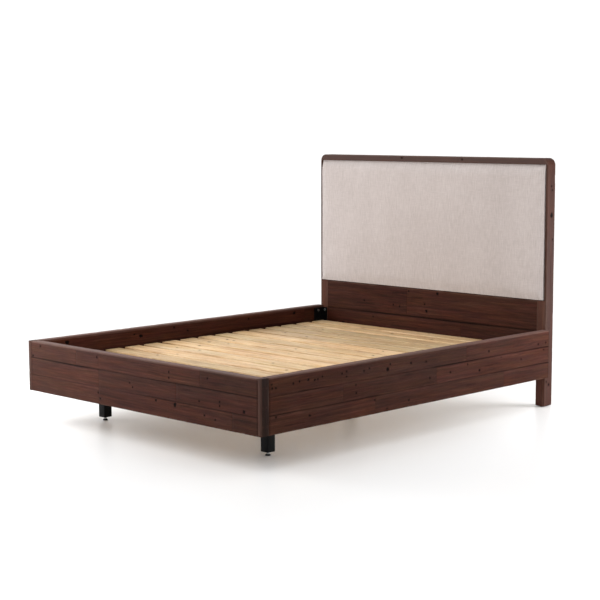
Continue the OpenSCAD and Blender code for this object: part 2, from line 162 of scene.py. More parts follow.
class Board:
    """A board as one closed mesh: a section carried along its length, with nail holes, knots and cracks.

    Its own millimetres run along, up its face and into the wood. A rectangle's sides are FACE, TOP, BACK and
    UNDER, and any section's corners are (up, into, radius, step of the next side). tones lighten the staves
    between the butt joints. seams holds the sides that meet another board, each with the stretches where it
    is closed. shades holds light and shade painted onto whole sides, and faded a pale sheen painted
    onto them. worn rubs and chips the arrises, and relief roughens the faces."""

    def __init__(self, length, section, cell=6.0, joints=(), tones=(0,), end_r=1.5, seed=0, relief=0.3,
                 worn=1.0, extra=(), seams=(), end_stain_and_shade=0.0, shades=(), faded=()):
        self.seed, self.joints, self.tones, self.knots = seed, sorted(joints), tones, []
        seams = dict(seams)
        self._loop(section, seams, dict(shades), dict(faded))
        self._stations(length, cell, end_r, extra, end_stain_and_shade)
        n, m = len(self.U), len(self.V)
        u = np.repeat(self.U, m)
        # Each point takes its side's painted light or shade and its painted sheen
        v, w, nv, nw, edge, hidden, self.shade, self.fade = (
            np.tile(values, n) for values in (self.V, self.W, self.NV, self.NW, self.edge, self.joined,
                                              self.tint, self.pale))
        at = np.stack([u, v, w], 1)
        wave = 0.7 * noise(at, (160, 40, 40), seed) + 0.3 * noise(at, (30, 14, 14), seed + 1)
        chips = np.clip(noise(at, (26, 16, 16), seed + 2) - 0.42, 0, 1) * np.exp(-edge / 5)
        rubbed = np.clip(0.5 + 0.7 * noise(at, (70, 20, 20), seed + 3), 0, 1) * np.exp(-edge / 2.2)
        depth = worn * (4.0 * chips + 0.9 * rubbed) + relief * (0.5 + 0.5 * wave)
        depth += np.repeat(self.pull, m)
        self.P = np.stack([u, v - nv * depth, w - nw * depth], 1)
        wear = np.exp(-edge / 3.5) * np.clip(0.5 + 0.6 * noise(at, (45, 15, 15), seed + 4), 0, 1)
        self.wear = np.clip(worn * (wear + 1.5 * chips), 0, 1) * (1 - hidden)
        tight = np.clip(0.45 + 0.6 * noise(at, (330, 500, 500), seed + 5), 0.15, 0.85)
        for side, closed in seams.items():
            here = v > v.max() / 2 if side == TOP else v < v.max() / 2
            for start, stop in closed:
                tight -= tight * here * np.clip(np.minimum(u - start, stop - u) / SEAM_REACH, 0, 0.92)
        self.dark = np.maximum(np.repeat(self.cut, m) * 0.8, hidden * tight)
        self.cells = {(i, j) for i in range(n - 1) for j in range(m)}
        self.faces, self.added, self.added_dark, self.high = [], [], [], {}
        self.count = n * m

    def _loop(self, section, seams, shades, faded):
        """Places round the section with normals and looks, and each side's first place, steps and axes."""
        count, out, self.sides = len(section), [], []
        # A side's looks: whether it meets another board, the light or shade painted on it, and its painted
        # sheen
        on_side = lambda k: np.array([float(k in seams), shades.get(k, 1.0), faded.get(k, 0.0)])
        for k, (v, w, radius, step) in enumerate(section):
            own, previous = on_side(k), on_side((k - 1) % count)
            mean = np.maximum(own, previous)
            mean[1:] = (own + previous)[1:] / 2
            here = np.array([v, w], float)
            before = here - section[k - 1][:2]
            after = np.array(section[(k + 1) % count][:2], float) - here
            before, after = before / np.linalg.norm(before), after / np.linalg.norm(after)
            n0, n1 = np.array([before[1], -before[0]]), np.array([after[1], -after[0]])
            centre = here + (after - before) * radius
            for turn in np.linspace(0, math.pi / 2, 4) if radius else [math.pi / 4]:
                normal = n0 * math.cos(turn) + n1 * math.sin(turn)
                out.append([*(centre + normal * radius), *normal, 0, *mean])
            first = len(out) - 1
            next_v, next_w, next_r, _ = section[(k + 1) % count]
            span = math.hypot(next_v - v, next_w - w)
            ts = np.linspace(radius, span - next_r, max(1, round((span - radius - next_r) / step)) + 1)
            for t in ts[1:-1]:
                out.append([*(here + after * t), *n1, min(t, span - t), *own])
            self.sides.append((first, ts, here, after, n1))
        self.V, self.W, self.NV, self.NW, self.edge, self.joined, self.tint, self.pale = np.array(out).T

    def _stations(self, length, cell, end_r, extra, end_stain_and_shade):
        """Places along the length: eased ends darkened by stain and painted shade, and a fine groove at each
        butt joint.
        """
        special = {0.0: end_r, 0.3 * end_r: 0.3 * end_r, end_r: 0.0}
        special.update({length - u: pull for u, pull in special.items()})
        # The ends darken with stain and with painted shade where they meet the next part
        cut = {u: end_stain_and_shade for u in (0.0, 0.3 * end_r, length, length - 0.3 * end_r)}
        if end_stain_and_shade:
            for u in (STAIN_AND_SHADE_REACH, length - STAIN_AND_SHADE_REACH):
                special[u], cut[u] = 0.0, 0.5 * end_stain_and_shade
        for j in self.joints:
            for off, share in ((-1.3, 0), (-0.3, 1), (0.3, 1), (1.3, 0)):
                special[j + off], cut[j + off] = GROOVE * share, GROOVE_DARK * share
        special.update({u: 0.0 for u in extra})
        fixed = np.array(sorted(special))
        base = np.linspace(0, length, max(2, round(length / cell) + 1))
        base = base[np.abs(base[:, None] - fixed[None]).min(1) > 0.45 * cell]
        self.U = np.sort(np.concatenate([fixed, base]))
        self.pull = np.array([special.get(u, 0.0) for u in self.U])
        self.cut = np.array([cut.get(u, 0.0) for u in self.U])

    def _block(self, side, u, t, reach):
        """The cells round a place on a side, or None where they aren't all free."""
        first, ts = self.sides[side][:2]
        i0, i1 = np.searchsorted(self.U, u - reach) - 1, np.searchsorted(self.U, u + reach)
        j0, j1 = np.searchsorted(ts, t - reach) - 1, np.searchsorted(ts, t + reach)
        if i0 < 2 or i1 > len(self.U) - 3 or j0 < 0 or j1 > len(ts) - 1:
            return None
        m = len(self.V)
        cells = {(i, (first + j) % m) for i in range(i0, i1) for j in range(j0, j1)}
        if not cells <= self.cells or any((i, (first + j) % m) in self.high
                                          for i in range(i0, i1 + 1) for j in range(j0, j1 + 1)):
            return None
        rim = [(i0, j) for j in range(j0, j1)] + [(i, j1) for i in range(i0, i1)]
        rim += [(i1, j) for j in range(j1, j0, -1)] + [(i, j0) for i in range(i1, i0, -1)]
        return cells, [i * m + (first + j) % m for i, j in rim]

    def _add(self, point, dark):
        self.added.append(point)
        self.added_dark.append(dark)
        self.count += 1
        return self.count - 1

    def patch(self, side, u, t, rings, long=1.0, rough=0.12):
        """A round feature let into a side: rings of (radius, depth, darkness) from the rim to the middle."""
        found = self._block(side, u, t, rings[0][0] * long * 1.08)
        if found is None:
            return False
        cells, rim = found
        _, _, here, after, normal = self.sides[side]
        self.cells -= cells
        flat = np.array([u, *(here + after * t)])
        up, out = np.array([0, *after]), np.array([0, *normal])
        rel = self.P[rim] - flat
        lift = rel @ out
        angle = np.arctan2(rel @ up, rel[:, 0])
        wobble = 1 + rough * noise(np.stack([np.cos(angle), np.sin(angle), angle * 0 + u], 1), 0.9, self.seed)
        last = rim
        for radius, depth, dark in rings:
            ring = []
            for a, push, r in zip(angle, lift, radius * wobble):
                point = flat + np.array([math.cos(a) * r * long, 0, 0]) + up * math.sin(a) * r
                ring.append(self._add(point + out * ((push + lift.mean()) / 2 - depth), dark))
            self.faces += band(last, ring)
            last = ring
        middle = self._add(flat + out * (lift.mean() - rings[-1][1]), rings[-1][2])
        self.faces += [[last[k], last[(k + 1) % len(last)], middle] for k in range(len(last))]
        return True

    def nail(self, side, u, t):
        """A nail hole with a dark, bruised rim."""
        self.patch(side, u, t, [(4.76, 0, 0.35), (3.08, 0.2, 0.95), (2.24, 2.5, 1)], rough=0.35)

    def knot(self, side, u, t, r, long=1.2):
        """A small dead knot: a stained ring, a ragged dark gap and a split eye."""
        rings = [(r, 0, 0.25), (r * 0.8, 0.15, 0.9), (r * 0.64, 0.9, 1), (r * 0.46, 0.4, 1),
                 (r * 0.24, 0.5, 0.9), (r * 0.12, 1.4, 1)]
        if self.patch(side, u, t, rings, long=long, rough=0.55):
            here, after = self.sides[side][2:4]
            self.knots.append((u, *(here + after * t), r * long))

    def crack(self, side, u0, u1, t, width=0.7, depth=1.6, dark=0.25):
        """A drying crack along the grain: a narrow gap with sloping walls."""
        first, ts, _, after, normal = self.sides[side]
        m = len(self.V)
        j = (first + int(np.abs(ts - t).argmin())) % m
        i0, i1 = int(np.searchsorted(self.U, u0)), int(np.searchsorted(self.U, u1))
        below = (j - 1) % m
        near = {(i, k) for i in range(i0, i1) for k in (j, below)}
        if i0 < 3 or i1 > len(self.U) - 4 or i1 - i0 < 3 or not near <= self.cells:
            return
        up, out = np.array([0, *after]), np.array([0, *normal])
        low, high, floor = [i0 * m + j], [i0 * m + j], [i0 * m + j]
        for i in range(i0 + 1, i1):
            share = math.sin(math.pi * (i - i0) / (i1 - i0)) ** 0.6
            drift = noise(np.array([[self.U[i], t, side]]), 25, self.seed + 9)[0] * 1.6
            middle = self.P[i * m + j] + up * drift
            gap = width * share * 0.5
            self.P[i * m + j] = middle - up * gap
            self.dark[i * m + j] = dark
            low.append(i * m + j)
            high.append(self._add(middle + up * gap, dark))
            floor.append(self._add(middle - out * depth * share, 0.9))
            self.high[i, j] = high[-1]
        for line in (low, high, floor):
            line.append(i1 * m + j)
        for k in range(len(low) - 1):
            for a, b in ((low, floor), (floor, high)):
                face = [a[k], b[k], b[k + 1], a[k + 1]]
                self.faces.append(list(dict.fromkeys(face)))

    def looks(self, points):
        """Grain coordinates in metres, shifted at butt joints and bent round knots, and the staves' tones."""
        u, v, w = points.T
        v, w = v.copy(), w.copy()
        for ku, kv, kw, r in self.knots:
            far = np.sqrt(((u - ku) / 2.4) ** 2 + (v - kv) ** 2 + (w - kw) ** 2)
            squeeze = far / np.sqrt(far ** 2 + r ** 2)
            near = np.exp(-(far / (4 * r)) ** 2)
            v += (kv - v) * (1 - squeeze) * near
            w += (kw - w) * (1 - squeeze) * near
        stave = np.searchsorted(self.joints, u) if self.joints else np.zeros(len(u), int)
        grain = np.stack([u + stave * 733, v + stave * 217, w + stave * 91], 1) * MM + 1.37 * self.seed
        tone = np.array(self.tones, float)[np.minimum(stave, len(self.tones) - 1)]
        return grain, tone

    def part(self, place, shape=None):
        """(points, faces, looks) in the row frame."""
        m = len(self.V)
        added = np.array(self.added) if self.added else np.zeros((0, 3))
        points = np.vstack([self.P, added])
        grain, tone = self.looks(points)
        faces = []
        for i, j in sorted(self.cells):
            k = (j + 1) % m
            lower = [self.high.get((a, j), a * m + j) for a in (i, i + 1)]
            faces.append([lower[0], i * m + k, (i + 1) * m + k, lower[1]])
        faces += self.faces
        last = (len(self.U) - 1) * m
        faces += [list(range(m))[::-1], list(range(last, last + m))]
        blank = np.zeros(len(added))
        # Besides grain, tone and wear, the looks carry the sides' painted light and shade times the staves'
        # own lightness, their painted sheen, and the dark of holes, joints and ends
        looks = {"grain": grain, "tone": tone, "wear": np.concatenate([self.wear, blank]),
                 "shade": np.concatenate([self.shade, blank + 1]) * (1 + STAVE_LIGHT * tone),
                 "fade": np.concatenate([self.fade, blank]),
                 "dark": np.concatenate([self.dark, np.array(self.added_dark) if self.added else blank])}
        if shape is not None:
            points = shape(points)
        return place(points), faces, looks


def rectangle(up, into, radii, steps):
    """A section's four corners, from their radii and the steps of the face, top, back and bottom."""
    corners = ((0, 0), (up, 0), (up, into), (0, into))
    return [(*corner, r, step) for corner, r, step in zip(corners, radii, steps)]


def scatter(draw, let_in, sides, *ranges):
    """Lets one feature into each of the sides in turn, with its measures drawn from the ranges."""
    for side in sides:
        let_in(side, *[draw.uniform(*ends) for ends in ranges])


def make_wooden(node, board, directions, material, shape=None):
    """A board as a piece in place of a CAD node, filling the node's box in the three directions."""
    part = board.part(placer(*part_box(node), *directions), shape)
    make_piece(node, node + "_wood", [part], material)


def loft(points, count, loop=False):
    """(points, faces, looks) of rings of count points joined in turn, with the ends or the loop closed."""
    rings = [list(range(start, start + count)) for start in range(0, len(points), count)]
    pairs = zip(rings, rings[1:] + rings[:1] if loop else rings[1:])
    faces = [face for a, b in pairs for face in band(a, b)]
    return np.array(points), faces if loop else faces + [rings[0][::-1], rings[-1]], {}


def lathe(profile, count, centre, wave=None):
    """A closed turned mesh round the vertical, from (radius, height) points in millimetres.

    wave(turn, radius, height) gives how far its places stand out from the circle, in metres."""
    points = []
    turn = np.arange(count) * 2 * math.pi / count
    for radius, height in profile:
        r = radius * MM + (wave(turn, radius, height) if wave else 0 * turn)
        points += list(zip(centre[0] + r * np.cos(turn), centre[1] + r * np.sin(turn), [height * MM] * count))
    return loft(points, count)


def square_ring(half, radius, z, centre=(0, 0), per_corner=6):
    """Points round a square with round corners, at height z."""
    out = []
    for start in np.arange(4) * math.pi / 2:
        x = centre[0] + (half - radius) * np.sign(math.cos(start + math.pi / 4))
        y = centre[1] + (half - radius) * np.sign(math.sin(start + math.pi / 4))
        out += [(x + radius * math.cos(turn), y + radius * math.sin(turn), z)
                for turn in np.linspace(0, math.pi / 2, per_corner) + start]
    return out


def hexagon(half, turn):
    """The radius of a hexagon at a turn round it, half of it from flat to flat being half."""
    return half / np.cos((turn + math.pi / 6) % (math.pi / 3) - math.pi / 6)


# ---- materials ----

def linear(code):
    """A colour code such as #4a2f29 as a linear colour."""
    channels = [int(code[k:k + 2], 16) / 255 for k in (1, 3, 5)]
    return (*[c / 12.92 if c <= 0.04045 else ((c + 0.055) / 1.055) ** 2.4 for c in channels], 1.0)


class Shader:
    """A material on one Principled shader, whose nodes are made a line at a time."""

    def __init__(self, name, constants):
        self.material = bpy.data.materials.new(name)
        self.material.use_nodes = True
        self.tree = self.material.node_tree
        self.bsdf = self.tree.nodes["Principled BSDF"]
        for key, value in constants.items():
            self.bsdf.inputs[key].default_value = value

    def put(self, socket, value):
        if isinstance(value, bpy.types.NodeSocket):
            self.tree.links.new(value, socket)
        else:
            socket.default_value = value

    def node(self, kind, inputs, **settings):
        made = self.tree.nodes.new("ShaderNode" + kind)
        for key, value in settings.items():
            setattr(made, key, value)
        for key, value in inputs.items():
            self.put(made.inputs[key], value)
        return made

    def attribute(self, name, output="Fac"):
        return self.node("Attribute", {}, attribute_name=name).outputs[output]

    def place(self, along="x"):
        """The object's own coordinates, with the grain's direction first."""
        coords = self.node("TexCoord", {}).outputs["Object"]
        if along == "x":
            return coords
        split = self.node("SeparateXYZ", {"Vector": coords}).outputs
        order = {"y": (1, 2, 0), "z": (2, 0, 1)}[along]
        joined = self.node("CombineXYZ", {k: split[i] for k, i in zip("XYZ", order)})
        return joined.outputs[0]

    def noise(self, vector, per_metre, detail=4.0, rough=0.55, twist=0.0):
        mapped = self.node("Mapping", {"Vector": vector, "Scale": per_metre}).outputs[0]
        made = self.node("TexNoise", {"Vector": mapped, "Scale": 1.0, "Detail": detail,
                                      "Roughness": rough, "Distortion": twist})
        return made.outputs[0]

    def maths(self, operation, a, b=0.0, clamp=False):
        return self.node("Math", {0: a, 1: b}, operation=operation, use_clamp=clamp).outputs[0]

    def weigh(self, *pairs):
        """The sum of (value, weight) pairs."""
        total = None
        for value, weight in pairs:
            part = self.maths("MULTIPLY", value, weight)
            total = part if total is None else self.maths("ADD", total, part)
        return total

    def ramp(self, value, *stops):
        """A ramp through (position, colour) stops, each colour a code or a grey."""
        made = self.node("ValToRGB", {"Fac": value})
        elements = made.color_ramp.elements
        while len(elements) < len(stops):
            elements.new(1.0)
        for element, (position, colour) in zip(elements, stops):
            element.position = position
            element.color = linear(colour) if isinstance(colour, str) else (colour,) * 3 + (1.0,)
        return made.outputs[0]

    def mix(self, share, a, b, blend="MIX"):
        made = self.node("Mix", {0: share}, data_type="RGBA", blend_type=blend)
        for index, value in ((6, a), (7, b)):
            self.put(made.inputs[index], linear(value) if isinstance(value, str) else value)
        return made.outputs[2]

    def tint(self, colour, light):
        """A colour times a light with its own strength for each channel."""
        return self.mix(1.0, colour, light, "MULTIPLY")

    def done(self, colour, roughness, height, depth):
        """Links colour, roughness and a bump from height, depth metres deep, and gives the material."""
        self.put(self.bsdf.inputs["Base Color"], colour)
        self.put(self.bsdf.inputs["Roughness"], roughness)
        bump = self.node("Bump", {"Height": height, "Distance": depth, "Strength": 1.0})
        self.put(self.bsdf.inputs["Normal"], bump.outputs[0])
        return self.material


# The grey that a painted sheen pales wood towards, and the near-black of holes
SHEEN_COLOUR, HOLE = "#a08f8a", "#0b0605"


def wood(name, shades, worn, finish, along=None, bump=0.0005, contrast=1.0, gloss=0.4, hues=0.3):
    """Wood with growth figure, fibres and pores.

    shades run from dark to light, worn is the colour of rubbed arrises, and finish is (low, high) roughness.
    A Board's own grain, tone, wear, painted light and shade, painted sheen and darkness are read unless
    along names the grain's axis."""
    s = Shader(name, {"Specular IOR Level": gloss})
    at = s.attribute("grain", "Vector") if along is None else s.place(along)
    band = s.noise(at, (2.4, 55, 55), 4, 0.68, 0.4)
    contour = s.noise(at, (0.8, 11, 11), 2, 0.5, 0.3)
    figure = s.maths("SINE", s.maths("MULTIPLY", contour, 95))
    fibre = s.noise(at, (10, 230, 230), 4, 0.7)
    blot = s.noise(at, (2.6, 8, 8), 3, 0.5)
    pores = s.ramp(s.noise(at, (38, 900, 900), 2, 0.5), (0.57, 0.0), (0.68, 1.0))
    flecks = s.ramp(s.noise(at, (14, 130, 130), 3, 0.6), (0.64, 0.0), (0.76, 1.0))
    value = s.weigh((band, 0.46 * contrast), (figure, 0.02 * contrast), (fibre, 0.42 * contrast),
                    (blot, 0.22 * contrast))
    value = s.maths("ADD", value, 0.5 - 0.55 * contrast)
    colour = s.ramp(value, (0.34, shades[0]), (0.45, shades[1]), (0.55, shades[2]), (0.68, shades[3]))
    colour = s.mix(s.weigh((pores, 0.35), (flecks, 0.5)), colour, shades[0])
    rough = s.weigh((fibre, finish[1] - finish[0]), (pores, 0.12))
    rough = s.maths("ADD", rough, finish[0])
    height = s.weigh((fibre, 0.5), (pores, -0.5), (band, 0.5))
    if along is None:
        drift, patch, streak = (s.maths("SUBTRACT", s.noise(at, size, 3, 0.55, 0.5), 0.5)
                                for size in ((1.7, 5, 5), (3.6, 20, 20), (6, 90, 90)))
        tone = s.weigh((s.attribute("tone"), 0.25), (drift, 2.2), (streak, 2.8))
        warm = s.tint(colour, (1 + 0.11 * hues, 1 - 0.06 * hues, 1 - 0.09 * hues, 1))
        cool = s.tint(colour, (1 - 0.12 * hues, 1 + 0.03 * hues, 1 - 0.01 * hues, 1))
        colour = s.mix(s.maths("ADD", tone, 0.5, True), cool, warm)
        ochre = s.tint(colour, (1.06, 1.02, 1 - 0.2 * hues, 1))
        violet = s.tint(colour, (0.96, 0.97, 1 + 0.08 * hues, 1))
        colour = s.mix(s.maths("ADD", s.weigh((patch, 3.6), (streak, -1.6)), 0.45, True), violet, ochre)
        # Painted light and shade lighten or darken whole sides, and a painted sheen pales them towards grey
        shade = s.node("CombineXYZ", {axis: s.attribute("shade") for axis in "XYZ"}).outputs[0]
        colour = s.mix(s.attribute("fade"), s.tint(colour, shade), SHEEN_COLOUR)
        wear = s.maths("MULTIPLY", s.attribute("wear"), s.ramp(fibre, (0.3, 0.35), (0.6, 1.0)))
        colour = s.mix(s.maths("MULTIPLY", wear, 0.6, True), colour, worn)
        dark = s.attribute("dark")
        colour = s.mix(dark, colour, HOLE)
        rough = s.maths("ADD", rough, s.maths("MULTIPLY", dark, 0.3), True)
    return s.done(colour, rough, height, bump)


def woven(name, shades, threads):
    """Plain-weave linen with threads to the metre, of thick and thin yarns, and with a soft sheen."""
    s = Shader(name, {"Sheen Weight": 0.2, "Sheen Roughness": 0.5, "Specular IOR Level": 0.15})
    at = s.place()
    upright = s.noise(at, (620, 30, 26), 3, 0.6)
    level = s.noise(at, (20, 30, 620), 3, 0.6)
    slub = s.noise(at, (190, 20, 18), 2, 0.5)
    cloud = s.noise(at, (5, 5, 3), 2, 0.5)
    split = s.node("SeparateXYZ", {"Vector": at}).outputs
    warp = s.maths("SINE", s.maths("MULTIPLY", split[0], threads * math.pi))
    weft = s.maths("SINE", s.maths("MULTIPLY", split[2], threads * math.pi))
    weave = s.maths("MULTIPLY", warp, weft)
    value = s.weigh((upright, 0.42), (level, 0.26), (slub, 0.20), (cloud, 0.12), (weave, 0.03))
    colour = s.ramp(value, (0.34, shades[0]), (0.5, shades[1]), (0.66, shades[2]))
    height = s.weigh((upright, 0.8), (level, 0.6), (weave, 0.35))
    return s.done(colour, 0.9, height, 0.0004)


def metal(name, shades, roughness, grain, metallic=1.0, depth=0.0001, gloss=0.5):
    """Metal, paint or plastic: a blotchy colour and an uneven surface, grain lumps to the metre."""
    s = Shader(name, {"Metallic": metallic, "Specular IOR Level": gloss})
    at = s.place()
    fine = s.noise(at, (grain,) * 3, 3, 0.6)
    blot = s.noise(at, (grain / 14,) * 3, 3, 0.6)
    colour = s.ramp(s.weigh((fine, 0.4), (blot, 0.6)), (0.35, shades[0]), (0.65, shades[1]))
    rough = s.maths("ADD", s.weigh((blot, 0.25), (fine, 0.1)), roughness)
    return s.done(colour, rough, fine, depth)


DARK_BROWNS, WORN_BROWN = ("#230f09", "#341a13", "#40231a", "#533327"), "#6b554b"
RECLAIMED, SIDE_WOOD = (wood(name, DARK_BROWNS, WORN_BROWN, finish, contrast=0.85, gloss=gloss, hues=0.8)
                        for name, finish, gloss in (("reclaimed_wood", (0.42, 0.66), 0.054),
                                                    ("side_rail_wood", (0.5, 0.74), 0.036)))
WORN_PINE = "#dccaa9"
PINE = wood("pine", ("#8a6744", "#b8976c", "#cbb088", "#dcc7a2"), WORN_PINE, (0.45, 0.65), bump=0.0004)
PINE_CAD = {axis: wood(f"pine_along_{axis}", ("#8a6744", "#b39069", "#c4a77f", "#d4bd97"), WORN_PINE,
                       (0.5, 0.7), along=axis) for axis in "xyz"}
BEECH = wood("dowel_beech", ("#9a7650", "#c19e74", "#cfb08a", "#dcc3a0"), "#e0cbaa", (0.5, 0.7), along="z")
PLY = wood("plywood", ("#8f6d49", "#b8956b", "#c7a881", "#d5bd99"), WORN_PINE, (0.5, 0.7), along="x")
LINEN = woven("linen", ("#a69d98", "#bab0ad", "#cbc3bf"), 1240)
BLACK_STEEL = metal("black_powder_coat", ("#030304", "#070809"), 0.38, 900, 0.0, 0.00015, gloss=0.1)
ZINC = metal("zinc_plate", ("#8a8c8e", "#b5b6b4"), 0.22, 260)
SCREW_STEEL = metal("screw_steel", ("#8d8568", "#b9b08c"), 0.20, 500)
NAIL_STEEL = metal("nail_steel", ("#1f1612", "#4a3a30"), 0.45, 1500, 0.7)
PLASTIC = metal("black_plastic", ("#0e0e0f", "#181819"), 0.38, 1400, 0.0, 0.00006, gloss=0.25)


# ---- reclaimed timber ----

Marks = namedtuple("Marks", "joints tones nails knots cracks")
# In a plank's own millimetres: butt joints, each stave's tone, nails' places along and up, knots' places and
# radii, and cracks' two ends and heights
FOOT_MARKS = {
    "top": Marks([370, 546, 1270], [0.4, 0.1, 0.8, -0.4],
                 [(80, 65), (18, 12), (535, 60), (1060, 48), (1060, 21), (1320, 49)], [], [(900, 1000, 30)]),
    "middle": Marks([546, 1110], [0.3, 0.0, -0.2], [(780, 48), (800, 30), (1400, 38), (1400, 20), (1265, 24)],
                    [(1555, 14, 7)], [(1500, 1600, 12), (1150, 1210, 66)]),
    "bottom": Marks([546, 1480], [0.2, 0.1, -0.3], [(540, 56), (556, 30), (1370, 37)],
                    [(968, 74, 6), (1100, 70, 9), (1085, 56, 5), (1300, 48, 5)], [(1130, 1200, 74)]),
}
SIDE_MARKS = {
    "top": Marks([1360], [-0.7, 0.4],
                 [(18, 53), (20, 37), (42, 35), (148, 42), (187, 46), (303, 43), (332, 50), (490, 54),
                  (490, 31), (607, 43), (645, 50), (1050, 34), (1962, 21), (2029, 23)],
                 [(243, 48, 6), (265, 34, 10), (284, 42, 5), (460, 48, 5), (772, 31, 9), (790, 52, 5),
                  (938, 40, 6), (1540, 30, 6)], [(400, 480, 58), (1480, 1600, 34)]),
    "middle": Marks([469, 1130], [-0.3, -0.9, 0.4],
                    [(553, 68), (555, 31), (1235, 44), (1371, 68), (1814, 43), (2011, 71)],
                    [(1466, 28, 7), (1080, 36, 5), (1643, 72, 4)], [(180, 260, 60), (1500, 1580, 44)]),
    "bottom": Marks([687, 1669], [-0.2, -0.5, 0.3], [(925, 33), (42, 76), (683, 66)],
                    [(252, 54, 5), (768, 14, 5)], [(90, 220, 30), (1355, 1440, 50)]),
}
PLANK_H = 84
MARKED, MARGIN = 2050, 40      # how much of a side rail has marks on it, and how far from its ends
PLANK_EDGES = {"top": (0.8, 2.2, 2.2, 1.5), "middle": (0.8, 0.8, 1.5, 1.5), "bottom": (1.8, 0.8, 1.5, 1.8)}
# The closed stretches of the seam under the top plank, and of the one over the bottom plank
FOOT_CLOSED = [], [(-60, 900)]
SIDE_CLOSED = [(-60, 215), (315, 1130)], [(690, 1600)]


def mirrored(marks, seed):
    """The same kinds of marks in other places, for the side that is laid out differently."""
    shift = np.random.default_rng(seed).uniform(0.25, 0.75) * MARKED
    moved = lambda u: MARGIN + (MARKED - u + shift) % (MARKED - 2 * MARGIN)
    return Marks(sorted(moved(u) for u in marks.joints), marks.tones[::-1],
                 [(moved(u), PLANK_H - t) for u, t in marks.nails],
                 [(moved(u), PLANK_H - t, r) for u, t, r in marks.knots],
                 [(moved(u1), moved(u1) + u1 - u0, t) for u0, u1, t in marks.cracks])


def make_plank(node, row, along, into, marks, seed, closed, material):
    """A plank of old timber with the marks let into its face and a few of its own on its back."""
    length, height, thick = box_size(*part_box(node), along, "+z", into)
    upper, lower = closed
    seams = {"top": {UNDER: upper}, "middle": {TOP: upper, UNDER: lower}, "bottom": {TOP: lower}}[row]
    open_top = row == "top"
    # An open top face gets a painted sheen: lighter and paler
    board = Board(length, rectangle(height, thick, PLANK_EDGES[row], (6, 11, 12, 14)), 6.5, marks.joints,
                  marks.tones, seed=seed, seams=seams, end_stain_and_shade=0.8, worn=0.6,
                  shades={TOP: 1.6} if open_top else {}, faded={TOP: 0.22} if open_top else {})
    for u, t, r in marks.knots:
        board.knot(FACE, u, t, r)
    for u, t in marks.nails:
        board.nail(FACE, u, t)
    for u0, u1, t in marks.cracks:
        board.crack(FACE, u0, u1, t)
    draw = np.random.default_rng(seed)
    scatter(draw, board.knot, [BACK] * 4, (60, length - 60), (25, height - 25), (6, 11))
    scatter(draw, board.nail, [BACK] * 5, (30, length - 30), (15, height - 15))
    make_wooden(node, board, (along, "+z", into), material)


for index, row in enumerate(("top", "middle", "bottom")):
    make_plank(f"footboard_plank_{row}", row, "+x", "+y", FOOT_MARKS[row], 11 + index, FOOT_CLOSED, RECLAIMED)
    for side, inward, marks, seed in (("right", "-x", SIDE_MARKS[row], 21),
                                      ("left", "+x", mirrored(SIDE_MARKS[row], index), 31)):
        make_plank(f"side_rail_{side}_{row}", row, "+y", inward, marks, seed + index, SIDE_CLOSED, SIDE_WOOD)


def make_cap(side, inward, seed):
    """The upright strip over an end of the footboard, with a dimple round each nail."""
    node = f"footboard_end_cap_{side}"
    low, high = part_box(node)
    height, depth, thick = box_size(low, high, "+z", "+y", inward)
    # The outer face is darker, and the front strip gets a painted highlight: lighter and a little paler
    cap = Board(height, rectangle(depth, thick, (2.0, 2.0, 1.2, 1.2), (6, 6, 12, 4)), 6, tones=(-0.8,),
                end_r=2, seed=seed, worn=0.4, shades={FACE: 0.38, UNDER: 1.15}, faded={UNDER: 0.05})
    for nail_low, nail_high, _ in solids("end_cap_nails"):
        if (nail_low[0] > 0) == (side == "right"):
            _, y, z = (nail_low + nail_high) / 2
            cap.patch(FACE, (z - low.z) / MM, (y - low.y) / MM,
                      [(3.6, 0, 0.35), (2.2, 0.35, 0.85), (1.6, 0.5, 1)])
    make_wooden(node, cap, ("+z", "+y", inward), RECLAIMED)


make_cap("left", "+x", 41)
make_cap("right", "-x", 43)


# ---- headboard ----

POST_W, POST_D, REBATE = 56, 70, 28.0
EASE, CORNER_R = 4.0, 38.0       # of the outer arrises, and of the outer top corners
FRONT, OUTER, REAR, INNER, STEP, WALL = range(6)     # a post's sides; the last two are the rebate's
panel_low, panel_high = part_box("panel_linen")


def eased(inset):
    """How far an eased face falls back at a distance inset from the arris."""
    inset = np.clip(inset, 0, EASE)
    return EASE - np.sqrt(EASE ** 2 - (EASE - inset) ** 2)


